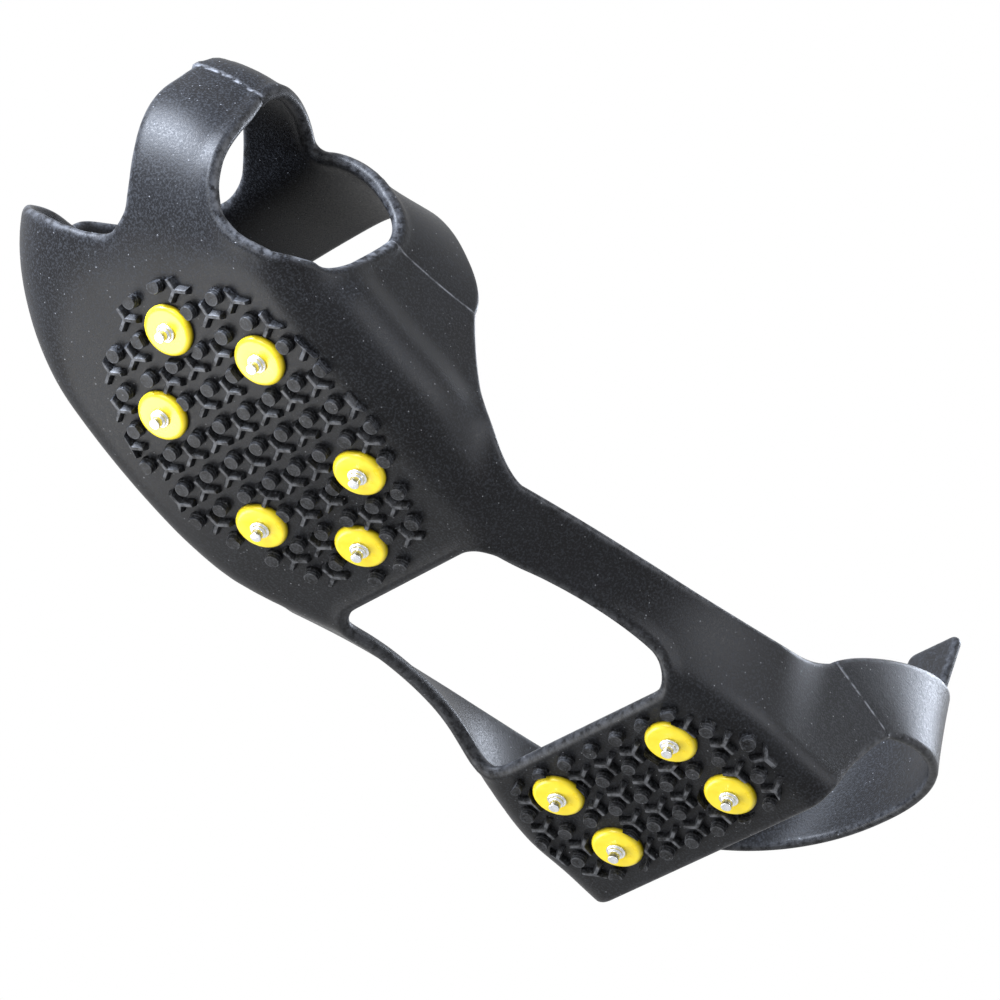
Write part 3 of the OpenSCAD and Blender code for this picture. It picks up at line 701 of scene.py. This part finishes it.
def turned_steel():
    """Carbon steel, zinc plated and turned: bright, with fine rings from the tool and a few dull scuffs."""
    made, tree, shader, place = material("turned_zinc_plated_steel")
    shader.inputs["Metallic"].default_value = 1.0
    # Tool rings, about 0.05 mm apart on such a stud and drawn 0.35 mm apart so that they show
    rings = node(tree, "TexWave", [("Vector", place)], wave_type="RINGS", rings_direction="Z",
                 Scale=per_metre(0.35) * 2 * math.pi / wave_rate, Distortion=0.4)
    # Scuffs about 1.2 mm wide
    scuff = node(tree, "TexNoise", [("Vector", place)], Scale=per_metre(1.2), Detail=4.0)
    tone = node(tree, "ValToRGB", [("Fac", scuff.outputs["Fac"])],
                stops=[(0.3, "#b9bcc0"), (0.65, "#e4e6e8")])
    tree.links.new(tone.outputs["Color"], shader.inputs["Base Color"])
    polish = node(tree, "MapRange", [("Value", scuff.outputs["Fac"])],
                  From_Min=0.3, From_Max=0.7, To_Min=0.34, To_Max=0.2)
    tree.links.new(polish.outputs["Result"], shader.inputs["Roughness"])
    height = node(tree, "Bump", [("Height", rings.outputs["Fac"])], Strength=0.15, Distance=0.03 * MM)
    tree.links.new(height.outputs["Normal"], shader.inputs["Normal"])
    return made


harness_rubber = moulded_rubber("moulded_natural_rubber", dark="#0d0d0f", worn="#16171a", dusty="#26282c",
                                rough=0.44, bump_mm=0.1)
tread_rubber = moulded_rubber("moulded_tread_rubber", dark="#0a0a0b", worn="#121214", dusty="#303236",
                              rough=0.44, bump_mm=0.04)
disc_plastic = moulded_abs_yellow()
stud_steel = turned_steel()


# Harness sole: one sheet from the heel to the toe, with the opening under the arch

# Points along each stretch of an outline, before they are spaced evenly
rim_points, toe_points, heel_points, mould_points, upper_points = 300, 400, 120, 40, 721
arch_step, bore_step = 0.5, 0.6


def wall_line(side, xs, hs):
    sides = np.full_like(xs, side)
    return np.stack([xs, side * length_to(section_at(xs, sides), hs)], axis=1)


def rim_line(side, start, end):
    s = np.linspace(start, end, rim_points)
    return wall_line(side, s, rim_h(s, side))


def toe_line(start, end):
    """The rim round the toe between two directions: it stays just past toe_s, where the fan starts."""
    a = np.linspace(start, end, toe_points)
    p, q = np.cos(np.radians(a)), np.sin(np.radians(a))
    u = length_to(section_at(toe_s + np.maximum(p, hair * MM), q), toe_rim_h(a))
    return np.stack([toe_s + np.maximum(u * p, hair), u * q], axis=1)


def heel_edge(side):
    """Rear edge of the heel plate, up to the lower root of the heel strap."""
    h = strap_lower_h * np.linspace(0, 1, heel_points) ** 2
    return wall_line(side, mix(heel_rear_x, strap_lower_x, (h / strap_lower_h) ** heel_edge_power), h)


def heel_mould_line(side):
    t = np.linspace(0, 1, mould_points)
    return wall_line(side, mix(strap_lower_x, strap_upper_x, t), mix(strap_lower_h, strap_upper_h, t))


def rounded(centres, r):
    """A closed line at distance r round a polygon that runs clockwise."""
    line = []
    for before, here, after in zip(centres[-1:] + centres[:-1], centres, centres[1:] + centres[:1]):
        start = math.atan2(here[0] - before[0], before[1] - here[1])
        end = math.atan2(after[0] - here[0], here[1] - after[1])
        for a in np.linspace(start, start - (start - end) % (2 * math.pi), corner_points):
            line.append((here[0] + r * math.cos(a), here[1] + r * math.sin(a)))
    return np.array(line + line[:1])


def arch_loop():
    front, rear = arch_front_x - arch_corner_r, arch_rear_x + arch_corner_r
    front_half, rear_half = arch_front_half - arch_corner_r, arch_rear_half - arch_corner_r
    corners = [(front, front_half), (front, -front_half), (rear, -rear_half), (rear, rear_half)]
    plan = evenly(rounded(corners, arch_corner_r), arch_step)
    return loop_of([(np.stack([plan[:, 0], flat_y(plan[:, 0], plan[:, 1])], axis=1), "rolled")])


def bore_loop(s, y):
    line = circle(s, y, shank_d / 2 + fit_gap, bore_step, clockwise=True)
    return line, ["bore"] * len(line)


sole_outline = loop_of([
    (np.concatenate([heel_edge(1)[::-1], heel_edge(-1)]), "lip"),
    (heel_mould_line(-1), "mould"),
    (rim_line(-1, strap_upper_x, inner_wing_s), "lip"),
    (np.concatenate([rim_line(-1, inner_wing_s, toe_s), toe_line(-90, inner_hole_end)]), "mould"),
    (toe_line(inner_hole_end, bridge_foot[0]), "thin"),
    (toe_line(*bridge_foot), "mould"),
    (np.concatenate([toe_line(bridge_foot[1], 90), rim_line(1, toe_s, wing_front_s)]), "hole"),
    (rim_line(1, wing_front_s, wing_rear_s), "mould"),
    (rim_line(1, wing_rear_s, strap_upper_x), "lip"),
    (heel_mould_line(1)[::-1], "mould"),
])
sole = sheet("harness_sole", [sole_outline, arch_loop()] + [bore_loop(*place) for place in STUDS.values()],
             on_sole, 1, harness_rubber,
             recesses=[(*place, head_d / 2 + fit_gap, head_t + fit_gap) for place in STUDS.values()])


# Strap over the foot and bridge: a T-shaped sheet on the roof over the toes

# Size of a cell of the flat outline, along and across the foot
strap_p, strap_q = 6.5, 7.0
bridge_corner_r = 6.0
hole_end_way = math.radians(inner_hole_end)
inner_front_s = toe_s + float(toe_at(hole_end_way)) * math.cos(hole_end_way)


def roof_h(s, y):
    """Height of the roof over the toes at a plan place."""
    n = toe_square(y)
    reach = ((past_toe(s) / toe_reach) ** n + (np.abs(y) / fore_half(y)) ** n) ** (1 / n)
    top = strap_top_h + crown_rise * ease(share(s, strap_front_s, crown_s))
    toe = share(s, toe_s, toe_s + toe_reach)
    power, square = mix(*roof_power, toe), mix(*roof_square, toe)
    return mix(line_h(s), top, np.maximum(0, 1 - reach ** power) ** (1 / square))


def strap_place(k, v):
    """Plan place in the strap: k counts cells across the foot, v runs from its rear to its front edge."""
    beside = np.abs(np.sin((np.abs(k) / strap_half_cells) ** strap_spread * np.pi / 2))
    sweep = beside ** strap_sweep
    rear = mix(strap_rear_s, by_side(k, wing_rear_s, inner_wing_s), sweep)
    front = mix(strap_front_s, by_side(k, wing_front_s, inner_front_s), sweep)
    s = mix(rear, front, v)
    n = toe_square(k)
    edge = fore_half(k) * (1 - (past_toe(s) / toe_reach) ** n) ** (1 / n)
    return np.stack([s, np.sign(k) * edge * beside], axis=-1)


def on_strap(p, q):
    """Lays flat points on the roof: p runs from the strap's rear edge to the toe, and q across the foot."""
    c, k = np.asarray(p, float) / strap_p, np.asarray(q, float) / strap_q
    run = 1 - (1 - np.clip((c - strap_cells) / bridge_cells, 0, 1)) ** bridge_spread
    a = np.radians(mix(*bridge_foot, share(k, *bridge_rows)))
    foot = np.stack([toe_s + toe_at(a) * np.cos(a), toe_at(a) * np.sin(a)], axis=-1)
    plan = mix(strap_place(k, np.clip(c / strap_cells, 0, 1)), foot, run[..., None])
    s, y = plan[..., 0], plan[..., 1]
    h = roof_h(s, y)
    a = off_toe(s, y)
    ahead = bulge(h, np.cos(a) ** 2)
    return world(s + ahead * np.cos(a), y + ahead * np.sin(a), h)


wide = strap_half_cells * strap_q
front, tip = strap_cells * strap_p, (strap_cells + bridge_cells) * strap_p
inner_edge, outer_edge = (row * strap_q for row in bridge_rows)
inner_corner = arc(front + bridge_corner_r, inner_edge - bridge_corner_r, bridge_corner_r, 180, 90)
outer_corner = arc(front + bridge_corner_r, outer_edge + bridge_corner_r, bridge_corner_r, 270, 180)
strap_outline = loop_of([
    ([(0, -wide), (front, -wide)], "mould"),
    ([(front, -wide), *inner_corner, (tip, inner_edge)], "thin"),
    ([(tip, inner_edge), (tip, outer_edge)], "mould"),
    ([(tip, outer_edge), *outer_corner, (front, wide)], "rolled"),
    ([(front, wide), (0, wide)], "mould"),
    ([(0, wide), (0, -wide)], "lip"),
])
foot_strap = sheet("foot_strap", [strap_outline], on_strap, -1, harness_rubber)


# Heel strap, and the pull tab on its upper edge

# The flat outline's length for each degree round the heel, and its width
heel_strap_p, heel_strap_q = 0.95, 30.0
tab_blend_h = 9.0


def on_heel_strap(p, q):
    """Lays flat points round the heel: p runs from the inner root to the outer one, and q up the strap."""
    turn, v = np.radians(np.asarray(p, float) / heel_strap_p), np.asarray(q, float) / heel_strap_q
    back = np.maximum(0, np.cos(turn)) ** heel_square
    root_x, root_h = mix(strap_lower_x, strap_upper_x, v), mix(strap_lower_h, strap_upper_h, v)
    half, lean, _, _ = section_at(root_x, turn)
    y = np.sign(turn) * (half + root_h * np.tan(lean)) * np.abs(np.sin(turn)) ** heel_square
    h = mix(root_h, mix(back_lower_h, back_upper_h, v), back ** heel_climb)
    return world(mix(root_x, heel_back_x, back), y, h)


tab_foot_half = tab_w / 2 + tab_foot_r
upper_run = np.linspace(-90, 90, upper_points) * heel_strap_p
upper_edge = on_heel_strap(upper_run, np.full_like(upper_run, heel_strap_q))
tab_ends = np.array([-tab_foot_half, tab_foot_half]) - middle[1]
tab_from, tab_to = np.interp(tab_ends, upper_edge[:, 1], upper_run)
reach = 90 * heel_strap_p
corners = [(-reach, 0), (reach, 0)] + [(p, heel_strap_q) for p in (reach, tab_to, tab_from, -reach)]
stretches = zip(corners, corners[1:] + corners[:1], ("lip", "mould") * 3)
heel_strap_outline = loop_of([([here, after], kind) for here, after, kind in stretches])
heel_strap = sheet("heel_band", [heel_strap_outline], on_heel_strap, 1, harness_rubber)


def on_tab(p, q):
    """The tab's foot follows the strap's edge, and its upper part is flat."""
    y = np.asarray(p, float) - middle[1]
    foot = np.stack([np.interp(y, upper_edge[:, 1], upper_edge[:, i]) for i in range(3)], axis=-1)
    top = upper_edge[len(upper_edge) // 2]
    place = mix(foot, np.stack([np.full_like(y, top[0]), y, np.full_like(y, top[2])], axis=-1),
                ease(share(q, 0, tab_blend_h))[..., None])
    place[..., 2] += q
    return place


tab_corner_y = tab_w / 2 - tab_corner_r
tab_outline = loop_of([
    ([(-tab_foot_half, 0), (tab_foot_half, 0)], "mould"),
    (np.concatenate([arc(tab_foot_half, tab_foot_r, tab_foot_r, -90, -180),
                     arc(tab_corner_y, tab_len - tab_corner_r, tab_corner_r, 0, 90),
                     arc(-tab_corner_y, tab_len - tab_corner_r, tab_corner_r, 90, 180),
                     arc(-tab_foot_half, tab_foot_r, tab_foot_r, 0, -90)]), "lip"),
])
tab = sheet("tab", [tab_outline], on_tab, 1, harness_rubber, spacing=1.6)


# Tread

class Tread:
    """A patch of nubs and lugs under one sole: stem is 1 where the lugs point to the toe, -1 to the heel."""

    def __init__(self, s, y, half_len, half_w, square, studs, stem):
        self.centre = np.array([s, y])
        self.half = np.array([half_len, half_w])
        self.square, self.studs, self.stem = square, studs, stem
        self.points, self.faces, self.wear_and_painted_light = [], [], []

    def outside(self, plan):
        """How far out a plan point lies: 1 is the patch's outline."""
        return (np.abs((plan - self.centre) / self.half) ** self.square).sum(axis=-1) ** (1 / self.square)

    def trimmed(self, plan, room):
        """Moves points outside the patch or too near a disc to the line that bounds the tread there."""
        out = np.maximum(1, self.outside(plan))[..., None]
        plan = self.centre + (plan - self.centre) / out
        clear = disc_d / 2 + room
        for stud in self.studs:
            arm = plan - np.array(stud)
            far = np.linalg.norm(arm, axis=-1)[..., None]
            plan = np.where(far < clear, np.array(stud) + arm / np.maximum(far, hair) * clear, plan)
        return plan

    def buried(self, plan):
        """How deep a plan point lies under the nearest disc."""
        return disc_d / 2 - min(np.linalg.norm(plan - np.array(stud)) for stud in self.studs)

    def add(self, centre, rings, room):
        """A block of stacked rings of (plan outline about its centre, height, paleness from use and painted
        highlight), trimmed and seated.
        """
        origin, axes = seat(*centre)
        first = sum(len(points) for points in self.points)
        count = len(rings[0][0])
        for outline, h, worn in rings:
            plan = self.trimmed(np.array(centre) + outline, room) - np.array(centre)
            local = np.column_stack([plan[:, 0], -plan[:, 1], np.full(count, h)])
            self.points.append(origin + local @ axes.T)
            self.wear_and_painted_light += [worn] * count
        for level in range(len(rings) - 1):
            for i in range(count):
                a, b = first + level * count + i, first + level * count + (i + 1) % count
                self.faces.append((b, a, a + count, b + count))
        self.faces.append([first + i for i in range(count)])
        self.faces.append([first + (len(rings) - 1) * count + i for i in reversed(range(count))])


def lattice(tread, ds, dy):
    """Places of a staggered lattice that covers a patch, moved by ds along the foot and dy across."""
    rows = math.ceil(tread.half[0] / nub_pitch_s) + 1
    columns = math.ceil(tread.half[1] / nub_pitch_y) + 1
    for row in range(-rows, rows + 1):
        for column in range(-columns, columns + 1):
            y = (column + (row % 2) / 2) * nub_pitch_y + dy
            yield np.array([tread.centre[0] + row * nub_pitch_s + ds, y])


# Clear space round the discs: wider beside the nubs, which stand higher than a disc
lug_room, nub_room = 0.9, 1.6
nub_sides = 20
# A nub is left out where a disc covers its centre by more than this
nub_buried = nub_d / 6
# Lugs stop where the sole curls up so far that the way out of it points down by less than this
steepest = -0.75
# Half the angle between two arms of a lug
arm_half_turn = math.pi / 3
# A nub from foot to top: shares of its radius and height, and how pale it is drawn: a little wear on its top,
# and highlights painted on the edges of its two steps and round the rim of its top. The mould's rings leave
# two steps in it
NUB = [
    (1.13, -tread_sink / nub_h, 0), (1.07, 0.34, 0), (1.03, 0.36, 0.14), (1.02, 0.65, 0), (0.985, 0.67, 0.14),
    (0.97, 0.93, 0.05), (0.9, 1.0, 0.2), (0.72, 1.0, 0.05),
]
# A lug's arm from foot to top: shares of its foot's half width and of its height, and how pale it is drawn: a
# highlight painted along its top, on a little wear
LUG = [(1.1, -tread_sink / lug_h, 0), (1.0, 0.05, 0), (0.62, 0.82, 0.06), (0.4, 1.0, 0.3)]


def nub_rings():
    turn = np.linspace(0, 2 * np.pi, nub_sides, endpoint=False)
    ring = np.stack([np.cos(turn), np.sin(turn)], axis=1) * nub_d / 2
    return [(ring * wide, nub_h * high, worn) for wide, high, worn in NUB]


def lug_rings(stem):
    """Outlines of a three-armed lug: two corners at the end of each arm, and one between two arms."""
    rings = []
    for wide, high, worn in LUG:
        half = lug_foot_w / 2 * wide
        reach = lug_arm - lug_foot_w / 2 * (1 - wide)
        outline = []
        for turn in np.radians([0, 120, 240]) + (0 if stem > 0 else np.pi):
            ahead = np.array([math.cos(turn), math.sin(turn)])
            aside = np.array([-math.sin(turn), math.cos(turn)])
            outline += [ahead * reach - aside * half, ahead * reach + aside * half]
            between = turn + arm_half_turn
            outline.append(np.array([math.cos(between), math.sin(between)]) * half / math.sin(arm_half_turn))
        rings.append((np.array(outline), lug_h * high, worn))
    return rings


def build_tread(name, tread):
    for place in lattice(tread, 0, 0):
        if tread.outside(place) < 1 and tread.buried(place) < nub_buried:
            tread.add(place, nub_rings(), nub_room)
    for place in lattice(tread, -lug_offset * tread.stem, nub_pitch_y / 2):
        level = seat(*place)[1][2, 2] < steepest
        if level and tread.outside(place) < 1 and tread.buried(place) < -lug_foot_w / 2:
            tread.add(place, lug_rings(tread.stem), lug_room)
    points = np.concatenate(tread.points)
    return piece(name, points, tread.faces, tread_rubber, tread_sharp, tread.wear_and_painted_light)


fore_studs = [place for name, place in STUDS.items() if not name.startswith("heel")]
heel_studs = [place for name, place in STUDS.items() if name.startswith("heel")]
fore_patch = Tread(s=72, y=0, half_len=51, half_w=36.5, square=2.2, studs=fore_studs, stem=1)
heel_patch = Tread(s=-74, y=1, half_len=23, half_w=41.5, square=3.5, studs=heel_studs, stem=-1)
fore_nubs = build_tread("forefoot_nubs", fore_patch)
heel_nubs = build_tread("heel_nubs", heel_patch)


# Studs and discs

lathe_sides = 64
edge_break = 0.15
# Shade is painted on a disc's edge up to this height, darkest where it meets the rubber
painted_shade_h = 1.0
# A disc sinks into the rubber, and the stud's flange into a shallow seat in the disc
disc_sink, seat_w, seat_depth, flange_sink = 0.2, 0.4, 0.05, 0.03
# Radii of the stud's edges, and of the fillets at the roots of its collar and pin
flange_round, collar_round, pin_round = 0.3, 0.3, 0.2
collar_root, pin_root = 0.2, 0.25
disc_points, edge_points, root_points = 9, 6, 4
# The crowned head from its middle out: shares of its radius and of its crown
head_crown, head_edge = 0.25, 0.1
HEAD = [(0, 1), (0.55, 0.8), (0.9, 0.25)]


def lathed(name, profile, place, finish):
    """A turned piece from a profile of (radius, distance out of the rubber), seated on the sole."""
    profile = np.array(profile)
    turn = np.linspace(0, 2 * np.pi, lathe_sides, endpoint=False)
    points, faces, rows = [], [], []
    for r, z in profile:
        rows.append([len(points)] * lathe_sides if r == 0 else [len(points) + i for i in range(lathe_sides)])
        points += [(0, 0, z)] if r == 0 else [(r * math.cos(a), r * math.sin(a), z) for a in turn]
    closed = profile[0][0] > 0
    for low, high in zip(rows, rows[1:] + rows[:1] if closed else rows[1:]):
        for i in range(lathe_sides):
            j = (i + 1) % lathe_sides
            faces.append(list(dict.fromkeys([low[i], low[j], high[j], high[i]])))
    # Painted shade, full at the rubber and fading out up the edge; the steel's material doesn't read it
    painted_shade = 1 - np.clip(np.array(points)[:, 2] / painted_shade_h, 0, 1)
    obj = piece(name, points, faces, finish, turned_sharp, painted_shade)
    origin, axes = seat(*place)
    frame_of = Matrix(axes.tolist()).to_4x4()
    frame_of.translation = Vector(origin * MM)
    obj.matrix_world = frame_of
    return obj


def disc_profile():
    bore, rim = shank_d / 2 + fit_gap, disc_d / 2
    foot = [(bore, -disc_sink), (rim - edge_break, -disc_sink), (rim, 0)]
    edge = arc(rim - disc_round, disc_t - disc_round, disc_round, 0, 90, disc_points)
    seat_r, seat_z = flange_d / 2, disc_t - seat_depth
    return [*foot, *edge, (seat_r + seat_w, disc_t), (seat_r, seat_z), (bore, seat_z)]


def stud_profile():
    head, shank, flange, collar, pin = head_d / 2, shank_d / 2, flange_d / 2, collar_d / 2, pin_d / 2
    top, tip = -rubber_t, disc_t + tip_reach
    flange_low, flange_z, collar_z = disc_t - flange_sink, disc_t + flange_t, disc_t + collar_h
    return [
        *((head * wide, top - head_crown * high) for wide, high in HEAD),
        (head, top + head_edge), (head, top + head_t), (shank, top + head_t),
        (shank, flange_low), (flange - edge_break, flange_low),
        *arc(flange - flange_round, flange_z - flange_round, flange_round, 0, 90, edge_points),
        *arc(collar + collar_root, flange_z + collar_root, collar_root, 270, 180, root_points),
        *arc(collar - collar_round, collar_z - collar_round, collar_round, 0, 90, edge_points),
        *arc(pin + pin_root, collar_z + pin_root, pin_root, 270, 180, root_points),
        *arc(pin - pin_round, tip - pin_round, pin_round, 0, 90, root_points),
        (0, tip),
    ]


for name, place in STUDS.items():
    body = "heel" if name.startswith("heel") else "forefoot"
    disc = lathed(name + "_disc", disc_profile(), place, disc_plastic)
    stud = lathed(name + "_stud", stud_profile(), place, stud_steel)
    for made, kind in ((disc, "disc_"), (stud, "stud_")):
        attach(made, body)
        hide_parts(kind + name)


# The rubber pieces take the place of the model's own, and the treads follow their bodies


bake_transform(sole)
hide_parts("forefoot_sole", "heel_sole")
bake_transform(foot_strap)
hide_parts("toe_strap")
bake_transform(heel_strap)
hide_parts("heel_strap")
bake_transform(tab)
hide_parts("pull_tab")
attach(fore_nubs, "forefoot")
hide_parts("forefoot_tread")
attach(heel_nubs, "heel")
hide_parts("heel_tread")


# Camera, light and floor, with places and sizes in metres and the lens in millimetres

camera_place = Vector((0.6653, 1.1770, -1.1188))
camera_right = Vector((-0.69229, 0.66664, 0.27628))
camera_up = Vector((0.61848, 0.35089, 0.7031))
camera_axes = Matrix((camera_right, camera_up, camera_right.cross(camera_up))).transposed()
camera = added("camera", bpy.data.cameras.new("camera"))
camera.data.sensor_width = 36
camera.data.lens = 241.26
camera.data.clip_end = 50
camera.matrix_world = Matrix.Translation(camera_place) @ camera_axes.to_4x4()
bpy.context.scene.camera = camera


def lamp(name, place, way, distance, size, power, tint):
    """A soft lamp of some width and height that shines on a place from a direction, with power in watts."""
    light = bpy.data.lights.new(name, "AREA")
    light.shape = "RECTANGLE"
    light.size, light.size_y = size
    light.energy = power
    light.color = linear(tint)[:3]
    obj = added(name, light)
    way = Vector(way).normalized()
    obj.location = Vector(place) + way * distance
    obj.rotation_euler = way.to_track_quat("Z", "Y").to_euler()
    obj.visible_camera = False


# What each lamp shines on, from which way and how far, its size, power and tint
cleat_middle, heel_side = (0, 0, 0.05), (-0.133, 0.04, 0.06)
lamp("ground_lamp", cleat_middle, (0.3, -0.61, -0.73), 1.0, (0.8, 0.4), 9, "#ffffff")
lamp("toe_lamp", cleat_middle, (0.98, 0.03, 0.2), 0.9, (0.3, 0.3), 36, "#e6efff")
lamp("low_toe_lamp", cleat_middle, (0.84, 0.3, -0.45), 1.0, (0.4, 0.4), 5, "#ffffff")
lamp("heel_lamp", heel_side, (-0.5, -0.04, 0.86), 0.4, (0.15, 0.15), 1.5, "#e6efff")
lamp("outer_lamp", cleat_middle, (-0.3, 0.93, 0.15), 1.2, (0.6, 0.6), 10, "#f4f7ff")

# The floor shows from above only, so that the ground side can be seen through it
floor_reach, floor_drop = 4, 0.0005
floor_paint = bpy.data.materials.new("matt_pale_paint")
floor_paint.use_nodes = True
tree = floor_paint.node_tree
tree.nodes.clear()
rays = node(tree, "LightPath")
sides = node(tree, "NewGeometry")
front_only = node(tree, "Math", [(1, sides.outputs["Backfacing"])], operation="SUBTRACT")
front_only.inputs[0].default_value = 1.0
shown = node(tree, "Math", [(0, rays.outputs["Is Camera Ray"]), (1, front_only.outputs[0])],
             operation="MULTIPLY")
clear = node(tree, "BsdfTransparent")
pale = node(tree, "BsdfDiffuse", Color=linear("#f2f2f0"))
both = node(tree, "MixShader", [(0, shown.outputs[0]), (1, clear.outputs[0]), (2, pale.outputs[0])])
node(tree, "OutputMaterial", [("Surface", both.outputs[0])])
floor_mesh = bpy.data.meshes.new("floor")
floor_corners = [(floor_reach * x, floor_reach * y, 0) for x, y in ((-1, -1), (1, -1), (1, 1), (-1, 1))]
floor_mesh.from_pydata(floor_corners, [], [(0, 1, 2, 3)])
floor_mesh.materials.append(floor_paint)
floor = added("floor", floor_mesh)
floor.location.z = -floor_drop
floor.visible_shadow = False

# White behind the cleat for the camera and for reflections, and a softer even light on it
studio = bpy.data.worlds.new("studio")
bpy.context.scene.world = studio
studio.use_nodes = True
tree = studio.node_tree
tree.nodes.clear()
rays = node(tree, "LightPath")
seen = rays.outputs["Is Camera Ray"]
for kind in ("Is Glossy Ray", "Is Transmission Ray"):
    either = node(tree, "Math", [(0, seen), (1, rays.outputs[kind])], operation="MAXIMUM")
    seen = either.outputs[0]
soft = node(tree, "Background", Color=linear("#ffffff"), Strength=0.38)
white = node(tree, "Background", Color=linear("#ffffff"), Strength=1.0)
both = node(tree, "MixShader", [(0, seen), (1, soft.outputs[0]), (2, white.outputs[0])])
node(tree, "OutputWorld", [("Surface", both.outputs[0])])

bpy.context.scene.view_settings.view_transform = "Standard"
